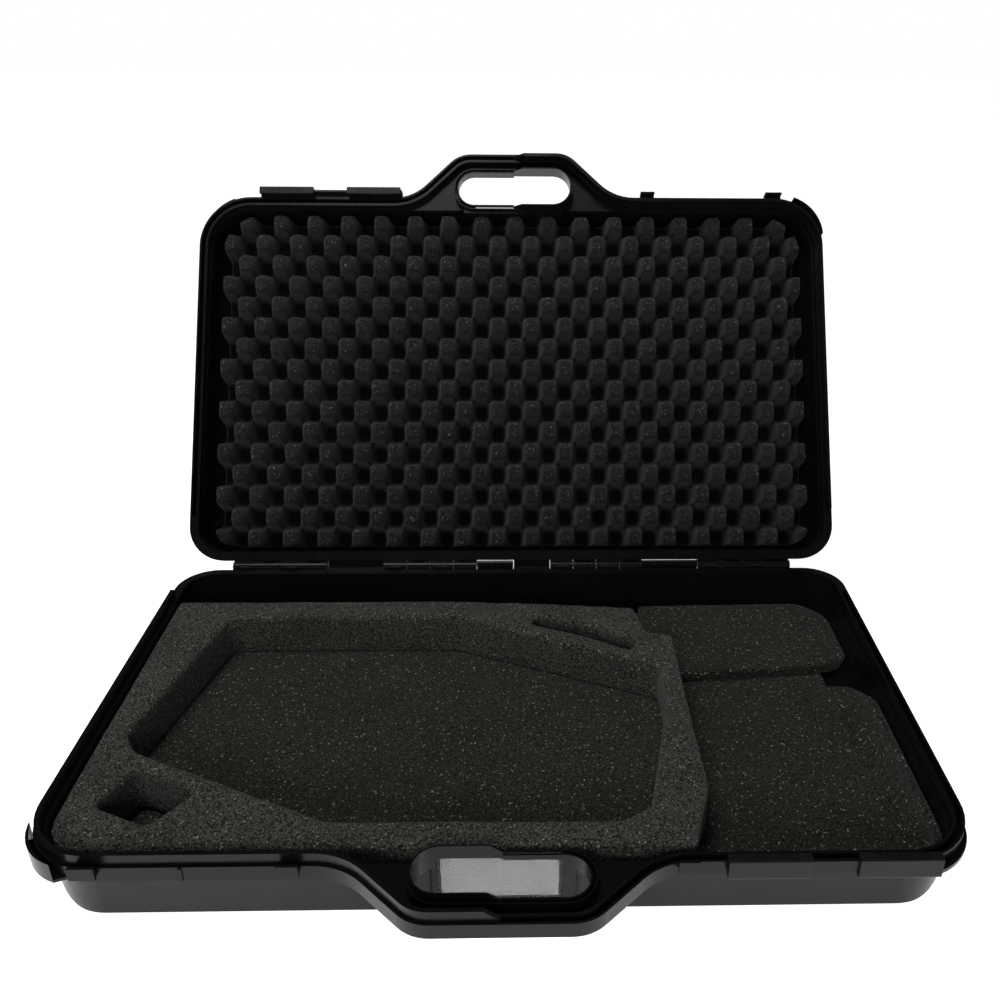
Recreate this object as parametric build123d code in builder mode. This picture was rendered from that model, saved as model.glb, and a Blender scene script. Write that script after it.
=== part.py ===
from build123d import *
import os

# Hard plastic carrying case, lying open on its base. Millimetres.
# Origin: centre of the base bottom face. X to the right, Y back toward the hinge, Z up.
# Both half shells come from one mould: the lid is the base turned half a turn about Y.

# overall
W = 600.0  # width over the rim
D = 350.0  # depth over the rim, without the handle
H = 49.0  # height of the parting plane above the bottom
PART_GAP = 0.15  # each parting face stands back by this much
BAND = 11.0  # height of the rim skirt below the parting plane
R_FRONT = 48.0  # plan corner radius, handle side
R_BACK = 32.0  # plan corner radius, hinge side
WALL = 3.0  # tray wall
TRAY_IN = 5.0  # tray wall stands this far inside the rim skirt
SIDE_ROUND = 30.0  # large round along the two bottom side edges

# rim tongue and groove, measured inward from the rim edge
GROOVE_OUT = 1.8
GROOVE_IN = 5.6
GROOVE_DEEP = 9.0
TONGUE_OUT = 2.15
TONGUE_IN = 5.25
TONGUE_UP = 8.0
TONGUE_END_Y = 128.0  # the tongue stops short of the hinge side
RIM_IN = 8.0  # inner edge of the rim

# handle
HANDLE_Y = 219.3  # front of the handle
HANDLE_FOOT = 98.0  # half width where it leaves the front edge
HANDLE_HEAD = 52.5  # half width at the front
HOLE_X = 106.0
HOLE_Y0 = -200.3
HOLE_Y1 = -168.4
HOLE_R = 15.0
RING = 4.5  # width of the rim round the finger hole
RING_TONGUE = (1.7, 2.9)  # tongue round the hole, measured outward from its edge
RING_GROOVE = (1.4, 3.4)
RING_UP = 6.5

# hinge
HINGE_Y = D / 2 + 5.5
BARREL_R = 4.3
PIN_R = 1.5
PIN_BORE = 1.56  # running bore in the lid knuckles
GROUP_X = (-258.0, -120.0, 34.0, 172.0)  # left end of each hinge group
KNUCKLE = 21.5
PIN_LONG = 85.0
OPEN_ANGLE = 123.0
STOP_SPANS = ((120.2, 171.8), (-33.8, -0.3))

# sliding latches, u is measured outward from the rim front
LATCH_LONG = 51.0
LATCH_HALF = 7.5  # half height, about the parting plane
INNER_OPEN_X = 137.0
INNER_LOCK_X = 108.5
OUTER_OPEN_X = 191.5
OUTER_LOCK_X = 217.0
RAIL_SPANS = ((107.0, 120.0), (139.5, 243.0))
CATCH_SPANS = ((-136.6, -123.1), (-260.5, -244.5))
HEAD_U0 = 3.4
HEAD_U1 = 5.4
HEAD_HALF = 4.7

# label holder in the wall behind the finger hole
LABEL_X0 = -41.5
LABEL_X1 = 36.5
LABEL_BACK = -163.8

# foam
SHEET = 6.0
BLOCK_TOP = 46.0
PAD_TOP = 19.0
LID_FOAM = 37.0
LID_FOAM_BASE = 8.0
FOAM_PLAY = 0.5

os.makedirs("parts", exist_ok=True)

# where a lid feature goes: half a turn about Y at the parting plane, then swung open on the hinge
TURN_OVER = Pos(0, 0, H) * Rot(0, 180, 0) * Pos(0, 0, -H)
SWING = Pos(0, HINGE_Y, H) * Rot(-OPEN_ANGLE, 0, 0) * Pos(0, -HINGE_Y, -H)
LID = SWING * TURN_OVER


def front_y(u):
    """Y of a point standing u outside the front edge of the rim."""
    return -D / 2 - u


def box(x0, x1, y0, y1, z0, z1, mode=Mode.ADD):
    """Box between two corners, in the active part."""
    with Locations(((x0 + x1) / 2, (y0 + y1) / 2, (z0 + z1) / 2)):
        Box(x1 - x0, y1 - y0, z1 - z0, mode=mode)


def rim_face(inset):
    """Plan outline of the rim with the handle, moved inward."""
    with BuildSketch() as plan:
        with BuildLine():
            Polyline(
                (-W / 2, -D / 2),
                (-HANDLE_FOOT, -D / 2),
                (-HANDLE_HEAD, -HANDLE_Y),
                (HANDLE_HEAD, -HANDLE_Y),
                (HANDLE_FOOT, -D / 2),
                (W / 2, -D / 2),
                (W / 2, D / 2),
                (-W / 2, D / 2),
                close=True,
            )
        make_face()
        corners = plan.vertices()
        fillet(corners.filter_by_position(Axis.Y, D / 2 - 1, D / 2 + 1), R_BACK)
        front = plan.vertices().filter_by_position(Axis.Y, -D / 2 - 0.1, -D / 2 + 0.1)
        fillet([front.sort_by(Axis.X)[0], front.sort_by(Axis.X)[-1]], R_FRONT)
        foot = [v for v in plan.vertices() if abs(abs(v.X) - HANDLE_FOOT) < 0.1]
        fillet(foot, 45)
        head = [v for v in plan.vertices() if abs(abs(v.X) - HANDLE_HEAD) < 0.1]
        fillet(head, 28)
        if inset:
            offset(amount=-inset, mode=Mode.REPLACE)
    return plan.sketch


def hole_face(grow):
    """Plan outline of the finger hole, moved outward."""
    with BuildSketch() as plan:
        with Locations((0, (HOLE_Y0 + HOLE_Y1) / 2)):
            RectangleRounded(HOLE_X + 2 * grow, HOLE_Y1 - HOLE_Y0 + 2 * grow, HOLE_R + grow)
    return plan.sketch


def tray_block(inset, top):
    """Solid shape of the tray, moved inward: straight plan corners and large rounds on the bottom sides."""
    edge = TRAY_IN + inset
    with BuildPart() as block:
        with BuildSketch(Plane.XY.offset(top)) as plan:
            Rectangle(W - 2 * edge, D - 2 * edge)
            fillet(plan.vertices().group_by(Axis.Y)[0], R_FRONT - edge)
            fillet(plan.vertices().group_by(Axis.Y)[-1], R_BACK - edge)
        extrude(amount=-(top - inset), taper=5)
        with BuildSketch(Plane.XZ) as side:
            with BuildLine():
                Polyline(
                    (-W / 2 + edge, top),
                    (-W / 2 + edge + 4, inset),
                    (W / 2 - edge - 4, inset),
                    (W / 2 - edge, top),
                    close=True,
                )
            make_face()
            fillet(side.vertices().group_by(Axis.Y)[0], SIDE_ROUND - inset)
        extrude(amount=D, both=True, mode=Mode.INTERSECT)
    return block.part


def prism(face, z0, z1):
    """Plan outline raised between two heights, as a loose solid."""
    return extrude(Pos(0, 0, z0) * face, amount=z1 - z0, mode=Mode.PRIVATE)


def ring(outer, inner, z0, z1):
    """Band between two plan outlines, as a loose solid."""
    return prism(outer, z0, z1) - prism(inner, z0, z1)


def half_space(x0, x1, y0, y1, z0, z1):
    """Loose box used to keep one region of a band."""
    centre = Pos((x0 + x1) / 2, (y0 + y1) / 2, (z0 + z1) / 2)
    return centre * Box(x1 - x0, y1 - y0, z1 - z0, mode=Mode.PRIVATE)


def shell_body():
    """Tray, skirt, handle pan and the rim round the finger hole."""
    top = H - PART_GAP
    add(tray_block(0, top))
    add(prism(rim_face(0), H - BAND, top))
    add(tray_block(WALL, H + 5), mode=Mode.SUBTRACT)
    add(prism(rim_face(RIM_IN), H - BAND + 2.5, H + 5), mode=Mode.SUBTRACT)
    # low rib along the inside of the back wall, on the tongue's half
    box(-262, -0.4, 164.9, 168, 36.2, 37.1)
    # tray front wall steps in behind the finger hole, for the label
    box(-48, 48, -168.5, -161.2, 1, H - 3.4)
    add(prism(hole_face(RING), H - BAND, top))
    add(prism(hole_face(0), H - BAND - 0.01, H + 1), mode=Mode.SUBTRACT)
    box(-46, 46, -176, -165.2, -1, H - BAND + 0.01, mode=Mode.SUBTRACT)
    box(LABEL_X0 - 0.3, LABEL_X1 + 0.3, -176, LABEL_BACK, 8, H - 4, mode=Mode.SUBTRACT)


def rim_joint():
    """Raised tongue on the left half, groove for the other shell on the right half."""
    left = half_space(-400, -0.4, -300, TONGUE_END_Y, 0, 100)
    right = half_space(-0.2, 400, -300, TONGUE_END_Y + 6, 0, 100)
    tongue = ring(rim_face(TONGUE_OUT), rim_face(TONGUE_IN), H - 2, H + TONGUE_UP)
    add(tongue & left)
    hole_tongue = ring(hole_face(RING_TONGUE[1]), hole_face(RING_TONGUE[0]), H - 2, H + RING_UP)
    add(hole_tongue & left)
    # on the tongue's half the hole is as wide as the inside of the tongue
    wide = prism(hole_face(RING_TONGUE[0]), H - BAND - 0.01, H + 1)
    add(wide & left, mode=Mode.SUBTRACT)
    groove = ring(rim_face(GROOVE_OUT), rim_face(GROOVE_IN), H - GROOVE_DEEP, H + 1)
    add(groove & right, mode=Mode.SUBTRACT)
    hole_groove = ring(hole_face(RING_GROOVE[1]), hole_face(RING_GROOVE[0]), H - RING_UP - 1, H + 1)
    add(hole_groove & right, mode=Mode.SUBTRACT)
    # under the tongue the skirt is hollow from below
    relief = ring(rim_face(GROOVE_OUT), rim_face(GROOVE_IN), H - BAND - 1, H - 3)
    keep = half_space(-400, -6, -300, TONGUE_END_Y, 0, 100)
    add(relief & keep, mode=Mode.SUBTRACT)
    # the tongues of the two shells meet on a slope at the middle of the handle
    for y0, y1 in ((-222, -208), (-207, -198), (-170, -160)):
        with BuildSketch(Plane.XZ.offset(-y1)) as slope:
            with BuildLine():
                Polyline((0.6, H - 0.1), (0.6, H + 9), (-11, H + 9), (-10.4, H + 8), close=True)
            make_face()
        extrude(slope.sketch, amount=y1 - y0, mode=Mode.SUBTRACT)


def hinge_knuckles(bore):
    """Knuckles two and four of each hinge group, with their arms, pin bores and windows."""
    for x in GROUP_X:
        for n in (1, 3):
            x0 = x + n * KNUCKLE + 0.2
            x1 = x + (n + 1) * KNUCKLE - 0.2
            middle = (x0 + x1) / 2
            with Locations((middle, HINGE_Y, H)):
                Cylinder(BARREL_R, x1 - x0, rotation=(0, 90, 0))
            with BuildSketch(Plane.YZ.offset(x0)) as arm:
                with BuildLine():
                    Polyline(
                        (D / 2 - 1, H - BAND),
                        (HINGE_Y + BARREL_R - 0.05, H - 0.4),
                        (D / 2 - 1, H - 0.4),
                        close=True,
                    )
                make_face()
            extrude(arm.sketch, amount=x1 - x0)
            with Locations((middle, HINGE_Y, H)):
                Cylinder(bore, x1 - x0 + 4, rotation=(0, 90, 0), mode=Mode.SUBTRACT)
            box(middle - 5, middle + 5, HINGE_Y - 1.1, HINGE_Y + 1.1, H, H + 6, mode=Mode.SUBTRACT)


def hinge_coves():
    """Coves round the other shell's knuckles, one and three of each hinge group."""
    for x in GROUP_X:
        for n in (0, 2):
            x0 = x + n * KNUCKLE + 0.2
            x1 = x + (n + 1) * KNUCKLE - 0.2
            cove = half_space(x0, x1, D / 2 - 1, HINGE_Y + 1, H - 8, H - 1.5)
            barrel = Pos((x0 + x1) / 2, HINGE_Y, H) * Rot(0, 90, 0) * Cylinder(
                BARREL_R + 0.7, KNUCKLE, mode=Mode.PRIVATE
            )
            add(cove - barrel)


def open_stops():
    """Two heels between the hinge groups that the other shell rests on when it is fully open."""
    for x0, x1 in STOP_SPANS:
        with BuildSketch(Plane.YZ.offset(x0)) as heel:
            with BuildLine():
                Polyline(
                    (D / 2 - 1, H - BAND),
                    (D / 2, H - BAND),
                    (HINGE_Y + 11, H - 4),
                    (HINGE_Y + 11.5, H - 1.75),
                    (HINGE_Y + 3.0, H + 3.8),
                    (HINGE_Y + 1.4, H + 2.6),
                    (HINGE_Y, H - 5.5),
                    (D / 2 - 1, H - 5.5),
                    close=True,
                )
            make_face()
        extrude(heel.sketch, amount=x1 - x0)


def latch_rail():
    """Rail that carries the two sliding latches, broken where the other shell's catches land."""
    for x0, x1 in RAIL_SPANS:
        box(x0, x1, front_y(HEAD_U1), front_y(-1), H - 3.5, H - 0.5)
        box(x0, x1, front_y(HEAD_U1), front_y(HEAD_U0), H - HEAD_HALF, H + HEAD_HALF)


def catches():
    """Two catches that the other shell's latches slide over."""
    for x0, x1 in CATCH_SPANS:
        box(x0, x1, front_y(HEAD_U1), front_y(-1), H - 3.5, H - 0.5)
        box(x0, x1, front_y(HEAD_U1), front_y(HEAD_U0), H - HEAD_HALF, H + HEAD_HALF)


def corner_guards():
    """Curved guards at the two front corners: one low and blunt, one high and pointed."""
    with BuildSketch(Plane.XY.offset(H - BAND)) as blunt:
        with BuildLine():
            ThreePointArc((299.8, -139), (289.6, -163), (271, -176.5))
            Polyline((271, -176.5), (269, -176), (269, -169), (286, -151.5), (299.8, -139))
        make_face()
    extrude(blunt.sketch, amount=2.9)
    with BuildSketch() as guard:
        with BuildLine():
            ThreePointArc((-299.9, -140), (-290.3, -163.6), (-272.6, -175.8))
            ThreePointArc((-272.6, -175.8), (-288.4, -162.6), (-298.2, -143))
            Line((-298.2, -143), (-299.9, -140))
        make_face()
    plate = prism(guard.sketch, H - BAND, H + 4)
    clear = prism(rim_face(-0.6), H - PART_GAP, H + 6)
    add(plate - clear)
    with BuildSketch(Plane.XY.offset(H - BAND)) as shelf:
        with BuildLine():
            ThreePointArc((-299.9, -140), (-290.3, -163.6), (-272.6, -175.8))
            Polyline((-272.6, -175.8), (-262, -172), (-286, -151.5), (-299.9, -140))
        make_face()
    extrude(shelf.sketch, amount=2.2)


def half_shell(bore):
    """One half shell as moulded, in the base position."""
    with BuildPart() as half:
        shell_body()
        rim_joint()
        open_stops()
        hinge_coves()
        latch_rail()
        catches()
        corner_guards()
        hinge_knuckles(bore)
        # small stiffening rib on the plain side of the front
        box(-197.0, -194.6, front_y(0.9), front_y(-1), H - BAND, H - 1)
    return half.part


# ---- half shells -------------------------------------------------------------------------

with BuildPart() as base_shell:
    add(half_shell(PIN_R))
base_shell.part.label = "base_shell"
export_step(base_shell.part, "parts/base_shell.step")

with BuildPart() as lid_shell:
    add(LID * half_shell(PIN_BORE))
lid_shell.part.label = "lid_shell"
export_step(lid_shell.part, "parts/lid_shell.step")


# ---- hinge pins --------------------------------------------------------------------------

def hinge_pin(x):
    """Steel pin through the four knuckles of one hinge group."""
    with BuildPart() as pin:
        with Locations((x + 2 * KNUCKLE, HINGE_Y, H)):
            Cylinder(PIN_R, PIN_LONG, rotation=(0, 90, 0))
        chamfer(pin.edges().filter_by(GeomType.CIRCLE), 0.4)
    return pin.part


for number, group in enumerate(GROUP_X, start=1):
    with BuildPart() as pin_node:
        add(hinge_pin(group))
    pin_node.part.label = f"hinge_pin_{number}"
    export_step(pin_node.part, f"parts/hinge_pin_{number}.step")


# ---- sliding latches ---------------------------------------------------------------------

def latch(x):
    """Channel-shaped slider round the rail, ribbed on its upper face, left end at x."""
    u_back, u_lip, u_web, u_out = 1.1, 2.9, 5.9, 7.7
    with BuildPart() as slider:
        with BuildSketch(Plane.YZ.offset(x)):
            with BuildLine():
                Polyline(
                    (front_y(u_back), H - LATCH_HALF),
                    (front_y(u_out), H - LATCH_HALF),
                    (front_y(u_out), H + LATCH_HALF),
                    (front_y(u_back), H + LATCH_HALF),
                    (front_y(u_back), H + 4),
                    (front_y(u_lip), H + 4),
                    (front_y(u_lip), H + 5.2),
                    (front_y(u_web), H + 5.2),
                    (front_y(u_web), H - 5.2),
                    (front_y(u_lip), H - 5.2),
                    (front_y(u_lip), H - 4),
                    (front_y(u_back), H - 4),
                    close=True,
                )
            make_face()
        extrude(amount=LATCH_LONG)
        front_edges = slider.edges().filter_by(Axis.X).group_by(Axis.Y)[0]
        fillet(front_edges, 1.2)
        for n in range(15):
            rib_x = x + 9.2 + n * 2.3
            box(rib_x, rib_x + 0.9, -200, 0, H + LATCH_HALF - 0.7, H + LATCH_HALF + 1, Mode.SUBTRACT)
    return slider.part


with BuildPart() as base_latch_inner:
    add(latch(INNER_OPEN_X))
base_latch_inner.part.label = "base_latch_inner"
export_step(base_latch_inner.part, "parts/base_latch_inner.step")

with BuildPart() as base_latch_outer:
    add(latch(OUTER_LOCK_X))
base_latch_outer.part.label = "base_latch_outer"
export_step(base_latch_outer.part, "parts/base_latch_outer.step")

with BuildPart() as lid_latch_inner:
    add(LID * latch(INNER_LOCK_X))
lid_latch_inner.part.label = "lid_latch_inner"
export_step(lid_latch_inner.part, "parts/lid_latch_inner.step")

with BuildPart() as lid_latch_outer:
    add(LID * latch(OUTER_OPEN_X))
lid_latch_outer.part.label = "lid_latch_outer"
export_step(lid_latch_outer.part, "parts/lid_latch_outer.step")


# ---- label -------------------------------------------------------------------------------

with BuildPart() as label_card:
    box(LABEL_X0 + 2.2, LABEL_X1 - 2.2, LABEL_BACK - 0.4, LABEL_BACK, 10.5, 43)
label_card.part.label = "label_card"
export_step(label_card.part, "parts/label_card.step")

with BuildPart() as label_window:
    box(LABEL_X0, LABEL_X1, LABEL_BACK - 1.4, LABEL_BACK, 9, H - 4.2)
    box(LABEL_X0 + 2, LABEL_X1 - 2, LABEL_BACK - 0.45, LABEL_BACK + 1, 10, 43.5, mode=Mode.SUBTRACT)
    box(LABEL_X0 + 4, LABEL_X1 - 4, LABEL_BACK - 2, LABEL_BACK - 1, 12.5, 39.5, mode=Mode.SUBTRACT)
label_window.part.label = "label_window"
export_step(label_window.part, "parts/label_window.step")


# ---- foam --------------------------------------------------------------------------------

def cavity(inset, z0, z1):
    """Inside of the tray between two heights, moved inward by a clearance."""
    inside = tray_block(WALL + inset, H)
    return inside & half_space(-400, 400, -300, 300, z0, z1)


with BuildPart() as bottom_foam_sheet:
    add(cavity(FOAM_PLAY, 0, WALL + FOAM_PLAY + SHEET))
    # stands clear of the step in the front wall
    box(-63, 63, -180, -160.6, 0, 20, mode=Mode.SUBTRACT)
    # the right-hand edge is too wide for the tray and turns up its wall
    turned = cavity(FOAM_PLAY, WALL + 2, 30) - tray_block(WALL + FOAM_PLAY + SHEET, H)
    add(turned & half_space(200, 400, -166, 48, 0, 60))
bottom_foam_sheet.part.label = "bottom_foam_sheet"
export_step(bottom_foam_sheet.part, "parts/bottom_foam_sheet.step")

BLOCK_Z0 = WALL + FOAM_PLAY + SHEET + 0.05

with BuildPart() as foam_block:
    with BuildSketch(Plane.XY.offset(BLOCK_Z0)) as outline:
        with BuildLine():
            Polyline(
                (-294, 127),
                (-294, -156),
                (122, -158),
                (137, -108),
                (135, 74),
                (113, 78),
                (106, 115),
                (40, 121),
                (-45, 127),
                close=True,
            )
        make_face()
        fillet([v for v in outline.vertices() if v.X < -200 and v.Y < 0], 34)
        fillet([v for v in outline.vertices() if v.X > 100], 4)
    extrude(amount=BLOCK_TOP - BLOCK_Z0)
    add(tray_block(WALL + FOAM_PLAY, H), mode=Mode.INTERSECT)
    # bed for the tool
    with BuildSketch(Plane.XY.offset(BLOCK_Z0)) as bed:
        with BuildLine():
            Polyline(
                (-240, 101),
                (-49, 101),
                (120, 31),
                (120, -12),
                (97, -122),
                (76, -136),
                (-116, -134),
                (-262, -66),
                (-274, -48),
                close=True,
            )
        make_face()
        fillet(bed.vertices(), 9)
    extrude(amount=BLOCK_TOP, mode=Mode.SUBTRACT)
    # square pocket at the front left
    with BuildSketch(Plane.XY.offset(BLOCK_Z0)) as pocket:
        with BuildLine():
            Polyline((-254, -85), (-206, -105), (-229, -137), (-271, -118), close=True)
        make_face()
        fillet(pocket.vertices(), 4)
    extrude(amount=BLOCK_TOP, mode=Mode.SUBTRACT)
    # slot at the back right
    with BuildSketch(Plane.XY.offset(BLOCK_Z0 + 8)) as slot:
        with BuildLine():
            Polyline((20, 104), (62, 88), (104, 65), (99, 52), (58, 74), (16, 90), close=True)
        make_face()
        fillet(slot.vertices(), 1.5)
    extrude(amount=BLOCK_TOP, mode=Mode.SUBTRACT)
foam_block.part.label = "foam_block"
export_step(foam_block.part, "parts/foam_block.step")

with BuildPart() as loose_foam_pad:
    with BuildSketch(Plane.XY.offset(BLOCK_Z0)) as pad:
        with BuildLine():
            Polyline((119, 166), (119, 86), (141, 80), (141, 54), (292, 60), (292, 166), close=True)
        make_face()
        fillet(pad.vertices().group_by(Axis.X)[-1], 26)
        fillet([v for v in pad.vertices() if v.X < 145], 3)
    extrude(amount=PAD_TOP - BLOCK_Z0)
    add(tray_block(WALL + FOAM_PLAY + 0.5, H), mode=Mode.INTERSECT)
loose_foam_pad.part.label = "loose_foam_pad"
export_step(loose_foam_pad.part, "parts/loose_foam_pad.step")

with BuildPart() as lid_foam:
    flat = cavity(FOAM_PLAY, 0, WALL + FOAM_PLAY + LID_FOAM)
    tips = WALL + FOAM_PLAY + LID_FOAM_BASE
    # a thin sheet with six ridges as high as the foam's tips
    gaps = [half_space(-400, 400, y, y + 45, tips, 60) for y in range(-205, 130, 55)]
    for gap in gaps:
        flat = flat - gap
    add(LID * (flat - half_space(-64, 64, -180, -158.4, 0, 60)))
lid_foam.part.label = "lid_foam"
export_step(lid_foam.part, "parts/lid_foam.step")
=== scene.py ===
import bpy
import math
from mathutils import Matrix, Vector, noise


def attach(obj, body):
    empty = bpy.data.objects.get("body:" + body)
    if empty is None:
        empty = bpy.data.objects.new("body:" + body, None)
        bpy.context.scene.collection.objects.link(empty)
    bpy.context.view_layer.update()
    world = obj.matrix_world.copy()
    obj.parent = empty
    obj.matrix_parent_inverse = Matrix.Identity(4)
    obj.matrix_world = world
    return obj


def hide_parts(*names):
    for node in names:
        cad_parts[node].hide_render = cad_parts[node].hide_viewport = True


noise.seed_set(1)    # noise_vector takes its offsets from the clock unless it is seeded

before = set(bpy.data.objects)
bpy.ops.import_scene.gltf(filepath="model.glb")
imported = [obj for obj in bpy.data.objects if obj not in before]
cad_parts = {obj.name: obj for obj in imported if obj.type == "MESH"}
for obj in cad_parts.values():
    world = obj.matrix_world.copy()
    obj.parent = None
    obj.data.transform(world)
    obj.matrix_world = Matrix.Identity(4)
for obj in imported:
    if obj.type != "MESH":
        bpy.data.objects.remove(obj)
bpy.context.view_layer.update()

# Case sizes that the pieces below share with the CAD, in metres.
H = 0.049            # parting plane
HINGE_Y = 0.1805
OPEN = math.radians(123.0)
FOAM_FLOOR = 0.0035  # inside of the shell, plus a little play
LID_FOAM = 0.037     # floor to the tips of the egg-crate foam

# A point of the lid in its moulded position goes to its open place through this.
TURN_OVER = Matrix.Translation((0, 0, H)) @ Matrix.Rotation(math.pi, 4, "Y") @ Matrix.Translation((0, 0, -H))
SWING = (Matrix.Translation((0, HINGE_Y, H)) @ Matrix.Rotation(-OPEN, 4, "X")
         @ Matrix.Translation((0, -HINGE_Y, -H)))
LID = SWING @ TURN_OVER


# ---------------------------------------------------------------- materials

class Nodes:
    """One material's node tree, with a short call for each kind of node used below."""

    def __init__(self, name):
        self.mat = bpy.data.materials.new(name)
        self.mat.use_nodes = True
        self.tree = self.mat.node_tree
        self.bsdf = self.tree.nodes["Principled BSDF"]
        self.coords = self.add("ShaderNodeTexCoord").outputs["Object"]

    def add(self, kind, **values):
        node = self.tree.nodes.new(kind)
        for key, value in values.items():
            setattr(node, key, value)
        return node

    def link(self, a, b):
        self.tree.links.new(a, b)

    def noise(self, scale, detail=3.0, rough=0.5, distort=0.0):
        node = self.add("ShaderNodeTexNoise")
        node.inputs["Scale"].default_value = scale
        node.inputs["Detail"].default_value = detail
        node.inputs["Roughness"].default_value = rough
        node.inputs["Distortion"].default_value = distort
        self.link(self.coords, node.inputs["Vector"])
        return node.outputs["Fac"]

    def cells(self, scale):
        node = self.add("ShaderNodeTexVoronoi", feature="F1")
        node.inputs["Scale"].default_value = scale
        self.link(self.coords, node.inputs["Vector"])
        return node

    def to_range(self, fac, low, high, a=0.0, b=1.0):
        node = self.add("ShaderNodeMapRange")
        node.inputs["From Min"].default_value = a
        node.inputs["From Max"].default_value = b
        node.inputs["To Min"].default_value = low
        node.inputs["To Max"].default_value = high
        self.link(fac, node.inputs["Value"])
        return node.outputs["Result"]

    def maths(self, op, a, b):
        node = self.add("ShaderNodeMath", operation=op)
        for socket, value in zip(node.inputs, (a, b)):
            if isinstance(value, (int, float)):
                socket.default_value = value
            else:
                self.link(value, socket)
        return node.outputs["Value"]

    def mix(self, fac, a, b, blend="MIX"):
        node = self.add("ShaderNodeMix", data_type="RGBA", blend_type=blend)
        for socket, value in ((node.inputs[0], fac), (node.inputs[6], a), (node.inputs[7], b)):
            if isinstance(value, (int, float)):
                socket.default_value = value
            elif isinstance(value, tuple):
                socket.default_value = (*value, 1)
            else:
                self.link(value, socket)
        return node.outputs[2]

    def bump(self, height, strength, distance, under=None):
        node = self.add("ShaderNodeBump")
        node.inputs["Strength"].default_value = strength
        node.inputs["Distance"].default_value = distance
        self.link(height, node.inputs["Height"])
        if under is not None:
            self.link(under, node.inputs["Normal"])
        return node.outputs["Normal"]

    def put(self, **sockets):
        for name, value in sockets.items():
            socket = self.bsdf.inputs[name.replace("_", " ")]
            if hasattr(value, "is_linked"):
                self.link(value, socket)
            else:
                socket.default_value = value
        return self.mat


def moulded_plastic(name, dark, light, rough_low, rough_high, grain=900.0):
    """Black satin polypropylene: fine spark-eroded grain, slight flow marks, paler rubbed patches."""
    n = Nodes(name)
    broad = n.noise(7.0, 4.0, 0.55)
    fine = n.noise(grain, 2.0, 0.5)
    flow = n.noise(38.0, 3.0, 0.6, 0.6)
    worn = n.to_range(n.noise(55.0, 5.0, 0.65), 0.0, 1.0, 0.52, 0.72)
    colour = n.mix(n.to_range(broad, 0.0, 1.0, 0.3, 0.7), dark, light)
    colour = n.mix(n.maths("MULTIPLY", worn, 0.25), colour, tuple(c * 1.6 for c in light))
    rough = n.maths("ADD", n.to_range(flow, rough_low, rough_high, 0.3, 0.7), n.to_range(fine, -0.03, 0.03))
    normal = n.bump(fine, 0.10, 0.0003)
    normal = n.bump(broad, 0.06, 0.0012, normal)
    return n.put(Base_Color=colour, Roughness=rough, Normal=normal, IOR=1.45,
                 Specular_IOR_Level=0.23)


def open_cell_foam(name, dark, light, cell=650.0, shade=None):
    """Charcoal polyether foam: open cells about 1.5 mm across, with glinting of the cell walls painted into
    the colour as bright specks.

    shade names a point attribute of painted shade that darkens the deep parts.
    """
    n = Nodes(name)
    cells = n.cells(cell)
    fine = n.noise(cell * 1.7, 4.0, 0.7)
    patch = n.noise(26.0, 4.0, 0.6)
    base = n.mix(n.to_range(patch, 0.0, 1.0, 0.35, 0.65), dark, light)
    pores = n.to_range(cells.outputs["Distance"], 1.55, 0.10, 0.05, 0.75)
    speckle = n.to_range(fine, 0.35, 1.85, 0.3, 0.7)
    tone = n.maths("MULTIPLY", pores, speckle)
    colour = n.mix(1.0, base, tone, "MULTIPLY")
    # painted highlights: bright specks mixed into the colour stand in for light glinting off the cell walls
    painted_glint_cells = n.cells(cell * 0.8)
    spark = n.maths("MULTIPLY", n.to_range(painted_glint_cells.outputs["Distance"], 1.0, 0.0, 0.10, 0.40),
                    n.to_range(n.noise(cell * 0.55, 1.0), 0.0, 1.0, 0.57, 0.64))
    colour = n.mix(spark, colour, (0.36, 0.41, 0.32))
    # painted shade: multiplies the colour by a point attribute that is dark in the valleys and on the sides
    # facing away from the light
    if shade:
        deep = n.add("ShaderNodeAttribute", attribute_name=shade)
        colour = n.mix(1.0, colour, deep.outputs["Color"], "MULTIPLY")
    normal = n.bump(cells.outputs["Distance"], 0.75, 0.0011)
    normal = n.bump(fine, 0.35, 0.0005, normal)
    return n.put(Base_Color=colour, Roughness=n.to_range(fine, 0.82, 1.0), Normal=normal,
                 Sheen_Weight=0.10, Sheen_Roughness=0.6, Specular_IOR_Level=0.15)


def drawn_steel(name):
    n = Nodes(name)
    long_lines = n.add("ShaderNodeMapping")
    long_lines.inputs["Scale"].default_value = (40, 2500, 2500)
    n.link(n.coords, long_lines.inputs["Vector"])
    lines = n.add("ShaderNodeTexNoise")
    lines.inputs["Scale"].default_value = 1.0
    n.link(long_lines.outputs["Vector"], lines.inputs["Vector"])
    fac = lines.outputs["Fac"]
    colour = n.mix(fac, (0.50, 0.50, 0.51), (0.66, 0.66, 0.67))
    return n.put(Base_Color=colour, Metallic=1.0, Roughness=n.to_range(fac, 0.22, 0.42),
                 Normal=n.bump(fac, 0.15, 0.0001))


def clear_plastic(name):
    n = Nodes(name)
    haze = n.noise(60.0, 4.0, 0.6)
    scratches = n.noise(700.0, 2.0, 0.5, 1.5)
    colour = n.mix(haze, (0.88, 0.90, 0.90), (0.95, 0.96, 0.96))
    rough = n.maths("ADD", n.to_range(haze, 0.05, 0.14), n.to_range(scratches, 0.0, 0.10, 0.62, 0.75))
    return n.put(Base_Color=colour, Roughness=rough, IOR=1.49, Transmission_Weight=0.97, Alpha=0.45,
                 Normal=n.bump(haze, 0.05, 0.0006))


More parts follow.
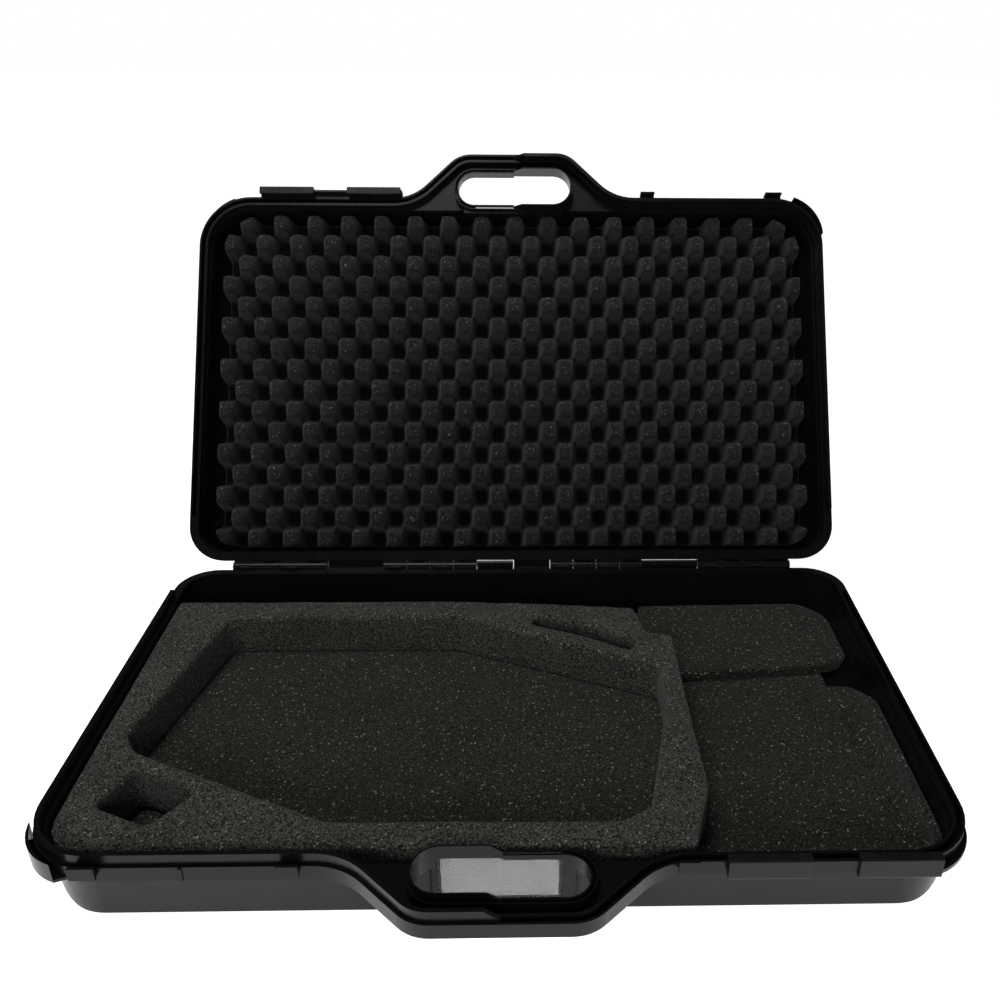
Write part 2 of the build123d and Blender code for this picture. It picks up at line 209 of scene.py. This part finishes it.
def grey_card(name):
    n = Nodes(name)
    fibres = n.noise(900.0, 5.0, 0.7, 1.0)
    blotch = n.noise(30.0, 3.0, 0.5)
    colour = n.mix(blotch, (0.020, 0.023, 0.023), (0.026, 0.030, 0.029))
    colour = n.mix(n.to_range(fibres, 0.0, 0.2, 0.4, 0.7), colour, (0.05, 0.055, 0.055))
    return n.put(Base_Color=colour, Roughness=n.to_range(fibres, 0.75, 0.95),
                 Normal=n.bump(fibres, 0.2, 0.0002))


SHELL = moulded_plastic("shell_black_pp", (0.0030, 0.0032, 0.0032), (0.0052, 0.0055, 0.0054), 0.22, 0.32)
LATCH = moulded_plastic("latch_black", (0.0060, 0.0064, 0.0062), (0.0092, 0.0098, 0.0094), 0.28, 0.38, 1200.0)
BLOCK_FOAM = open_cell_foam("foam_charcoal", (0.048, 0.0515, 0.043), (0.067, 0.071, 0.060))
SHEET_FOAM = open_cell_foam("foam_charcoal_sheet", (0.0165, 0.0200, 0.0135), (0.0250, 0.0290, 0.0210), 600.0)
# the egg-crate colours are darker than the block foam's: partly the foam's own tone, partly painted shade
# that darkens the whole lid foam
EGG_FOAM = open_cell_foam("foam_egg_crate", (0.020, 0.0225, 0.0180), (0.028, 0.031, 0.0255), 720.0, "painted_depth_shade")
STEEL = drawn_steel("pin_steel")
CLEAR = clear_plastic("window_clear")
CARD = grey_card("label_card_grey")


def paint(obj, mat):
    obj.data.materials.clear()
    obj.data.materials.append(mat)


for node, mat in (("base_shell", SHELL), ("lid_shell", SHELL), ("base_latch_inner", LATCH),
                  ("base_latch_outer", LATCH), ("lid_latch_inner", LATCH), ("lid_latch_outer", LATCH),
                  ("hinge_pin_1", STEEL), ("hinge_pin_2", STEEL), ("hinge_pin_3", STEEL),
                  ("hinge_pin_4", STEEL), ("label_window", CLEAR), ("label_card", CARD)):
    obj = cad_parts[node]
    for place in range(len(obj.material_slots)):
        obj.material_slots[place].material = mat


# ---------------------------------------------------------------- foam

def new_piece(name, mesh, mat):
    obj = bpy.data.objects.new(name, mesh)
    bpy.context.scene.collection.objects.link(obj)
    paint(obj, mat)
    for face in obj.data.polygons:
        face.use_smooth = True
    return obj


def apply_modifiers(obj):
    depsgraph = bpy.context.evaluated_depsgraph_get()
    mesh = bpy.data.meshes.new_from_object(obj.evaluated_get(depsgraph))
    obj.modifiers.clear()
    old, obj.data = obj.data, mesh
    bpy.data.meshes.remove(old)


def soft_from(node, name, body, voxel, passes, swell, mat, shape=None):
    """A foam piece from its CAD solid, with rounded cut edges and the unevenness of cut foam.

    voxel is the mesh size, passes the rounding, swell how far the surface wanders, and shape an
    extra move of each point.
    """
    obj = new_piece(name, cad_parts[node].data.copy(), mat)
    remesh = obj.modifiers.new("even", "REMESH")
    remesh.mode = "VOXEL"
    remesh.voxel_size = voxel
    remesh.use_smooth_shade = True
    smooth = obj.modifiers.new("round", "SMOOTH")
    smooth.factor = 0.5
    smooth.iterations = passes
    apply_modifiers(obj)
    for v in obj.data.vertices:
        p = v.co.copy()
        slow = noise.noise_vector(p * 22.0)
        quick = noise.noise_vector(p * 90.0)
        v.co = p + slow * swell + quick * (swell * 0.25)
        if shape:
            v.co = shape(v.co)
    paint(obj, mat)
    for face in obj.data.polygons:
        face.use_smooth = True
    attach(obj, body)
    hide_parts(node)
    return obj


CURL_X = 0.262       # the bottom sheet turns up to the right of here
CURL_BACK = 0.048    # back end of its turned-up edge
SHEET_TOP = 0.0095
CURL_SLANT = 2.4

PAD_LEFT, PAD_WIDE = 0.119, 0.173
PAD_FRONT, PAD_DEEP = 0.054, 0.112
PAD_RIGHT, PAD_BACK = 0.288, 0.164
PAD_ROUND = 0.046    # radius of its back right corner


def curl_end(p):
    """The turned-up edge of the bottom sheet runs out on a slant before it reaches the loose pad."""
    if p.x > CURL_X:
        p.y = min(p.y, CURL_BACK - max(0.0, p.z - SHEET_TOP) * CURL_SLANT)
    return p


def worn_pad(p):
    """The loose pad lies a little slack, with a bowed front edge and a well rounded back right corner."""
    along = (p.x - PAD_LEFT) / PAD_WIDE
    back = (p.y - PAD_FRONT) / PAD_DEEP
    p.y -= 0.005 * (1 - along) * max(0.0, back)
    p.y += 0.010 * max(0.0, along) ** 2 * max(0.0, 1 - back * 1.6)
    if along < 0.12:
        p.x -= 0.004 * max(0.0, back)
    dx, dy = p.x - (PAD_RIGHT - PAD_ROUND), p.y - (PAD_BACK - PAD_ROUND)
    if dx > 0 and dy > 0 and math.hypot(dx, dy) > PAD_ROUND:
        pull = PAD_ROUND / math.hypot(dx, dy)
        p.x += dx * (pull - 1)
        p.y += dy * (pull - 1)
    return p


soft_from("foam_block", "foam_block_soft", "base", 0.0022, 6, 0.0007, BLOCK_FOAM)
soft_from("bottom_foam_sheet", "bottom_sheet_soft", "base", 0.0024, 3, 0.0004, SHEET_FOAM, curl_end)
soft_from("loose_foam_pad", "loose_pad_soft", "base", 0.0020, 5, 0.0006, SHEET_FOAM, worn_pad)


def egg_crate():
    """Convoluted foam: rows of rounded posts, each row half a step along from the next."""
    low, high = -0.2795, 0.2795
    near, far = -0.1605, 0.1610
    step = 0.0018
    nx, ny = round((high - low) / step), round((far - near) / step)
    period_x, period_y = 0.0325, 0.0411
    corner_front, corner_back = 0.036, 0.018
    base, tip = 0.010, LID_FOAM
    sharp = 4.2

    def inside(x, y):
        """Pulls a point into the rounded corners of the tray."""
        r = corner_front if y < 0 else corner_back
        cx = math.copysign(high - r, x)
        cy = near + r if y < 0 else far - r
        dx, dy = x - cx, y - cy
        if dx * cx > 0 and dy * cy > 0:
            d = math.hypot(dx, dy)
            if d > r:
                return cx + dx * r / d, cy + dy * r / d
        return x, y

    def lift(x, y):
        wave = math.cos(math.tau * (x - 0.0153) / period_x) * math.cos(math.tau * (y + 0.0105) / period_y)
        return 0.5 + 0.5 * math.tanh(sharp * wave) / math.tanh(sharp)

    def top(x, y):
        uneven = 0.0012 * noise.noise(Vector((x * 24, y * 24, 3.0)))
        return FOAM_FLOOR + base + (tip - base + uneven) * lift(x, y) - 0.0012

    def painted_valley_shade(x, y):
        """Painted shade: 1 on the tips, close to 0 in the valleys and low on the sides that face the hinge.
        """
        up = lift(x, y)
        lean = max(-1.0, min(1.0, (lift(x, y + 0.003) - lift(x, y - 0.003)) * 2.2))
        return 0.02 + 0.98 * up ** 2.6 * (0.56 + 0.44 * lean)

    verts, faces = [], []
    for j in range(ny + 1):
        for i in range(nx + 1):
            x, y = inside(low + (high - low) * i / nx, near + (far - near) * j / ny)
            verts.append((x, y, top(x, y)))
    row = nx + 1
    for j in range(ny):
        for i in range(nx):
            a = j * row + i
            faces.append((a, a + 1, a + 1 + row, a + row))
    edge = (list(range(row)) + [j * row + nx for j in range(1, ny + 1)]
            + [ny * row + i for i in range(nx - 1, -1, -1)] + [j * row for j in range(ny - 1, 0, -1)])
    count = len(edge)
    rings = [edge]
    for part in (0.66, 0.33, 0.0):
        ring = []
        for v in edge:
            x, y, z = verts[v]
            tuck = 1.0 - 0.010 * (1.0 - part) ** 2
            ring.append(len(verts))
            verts.append((x * tuck, y * tuck, FOAM_FLOOR + (z - FOAM_FLOOR) * part))
        rings.append(ring)
    for upper, lower in zip(rings, rings[1:]):
        for k in range(count):
            m = (k + 1) % count
            faces.append((upper[m], upper[k], lower[k], lower[m]))
    faces.append(tuple(reversed(rings[-1])))
    mesh = bpy.data.meshes.new("lid_egg_crate")
    mesh.from_pydata([tuple(LID @ Vector(v)) for v in verts], [], faces)
    mesh.validate()
    # painted shade: this point attribute darkens the colour in the valleys, on the sides facing the hinge
    # and, at 0.1, on the side walls
    painted_depth_shade = mesh.color_attributes.new("painted_depth_shade", "FLOAT_COLOR", "POINT")
    for i, (x, y, z) in enumerate(verts):
        shade = painted_valley_shade(x, y) if i < row * (ny + 1) else 0.1
        painted_depth_shade.data[i].color = (shade, shade, shade, 1)
    obj = new_piece("lid_egg_crate", mesh, EGG_FOAM)
    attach(obj, "lid")
    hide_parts("lid_foam")
    return obj


egg_crate()


# ---------------------------------------------------------------- studio

def studio():
    bpy.ops.mesh.primitive_plane_add(size=14.0, location=(0, 1.0, 0))
    floor = bpy.context.object
    floor.name = "studio_floor"
    n = Nodes("studio_floor_white")
    mottled = n.noise(2.0, 2.0)
    n.put(Base_Color=n.mix(mottled, (0.90, 0.90, 0.90), (0.92, 0.92, 0.92)), Roughness=0.9,
          Emission_Color=(1, 1, 1, 1), Emission_Strength=0.95)
    paint(floor, n.mat)

    world = bpy.data.worlds.new("studio_white")
    bpy.context.scene.world = world
    world.use_nodes = True
    # bright at the horizon, like a white sweep, and dark above, like an unlit ceiling
    tree = world.node_tree
    coords = tree.nodes.new("ShaderNodeTexCoord")
    split = tree.nodes.new("ShaderNodeSeparateXYZ")
    ramp = tree.nodes.new("ShaderNodeValToRGB")
    ramp.color_ramp.elements[0].position = 0.08
    ramp.color_ramp.elements[0].color = (1, 1, 1, 1)
    ramp.color_ramp.elements[1].position = 0.24
    ramp.color_ramp.elements[1].color = (0.03, 0.03, 0.03, 1)
    tree.links.new(coords.outputs["Generated"], split.inputs[0])
    tree.links.new(split.outputs["Z"], ramp.inputs["Fac"])
    tree.links.new(ramp.outputs["Color"], tree.nodes["Background"].inputs["Color"])

    def soft_box(name, place, target, size, power, mirrored=True):
        light = bpy.data.lights.new(name, "AREA")
        light.shape = "RECTANGLE"
        light.size, light.size_y = size
        light.energy = power
        obj = bpy.data.objects.new(name, light)
        obj.location = place
        obj.rotation_euler = (Vector(target) - Vector(place)).to_track_quat("-Z", "Y").to_euler()
        obj.visible_glossy = mirrored
        bpy.context.scene.collection.objects.link(obj)

    soft_box("key_above", (-0.45, -0.15, 2.2), (0, 0.05, 0), (1.3, 0.9), 22.0)
    soft_box("fill_front", (-0.4, -1.7, 0.95), (0, 0.15, 0.05), (1.2, 0.5), 11.0, mirrored=False)


def photo_camera():
    """The photograph's viewpoint: 36 mm sensor, 35.5 mm lens, a slight sideways shift."""
    yaw, pitch, roll = math.radians(1.55), math.radians(26.85), math.radians(0.58)
    forward = Vector((math.sin(yaw) * math.cos(pitch), math.cos(yaw) * math.cos(pitch), -math.sin(pitch)))
    right = Vector((math.cos(yaw), -math.sin(yaw), 0.0))
    up = right.cross(forward)
    right, up = (right * math.cos(roll) + up * math.sin(roll), up * math.cos(roll) - right * math.sin(roll))
    data = bpy.data.cameras.new("photo_camera")
    data.sensor_width = 36.0
    data.lens = 35.5
    data.shift_x = -0.0578
    data.dof.use_dof = False
    data.clip_end = 50.0
    obj = bpy.data.objects.new("photo_camera", data)
    turn = Matrix((right, up, -forward)).transposed().to_4x4()
    obj.matrix_world = Matrix.Translation((0.0193, -0.6113, 0.5183)) @ turn
    bpy.context.scene.collection.objects.link(obj)
    bpy.context.scene.camera = obj


studio()
photo_camera()
bpy.context.scene.view_settings.view_transform = "Standard"
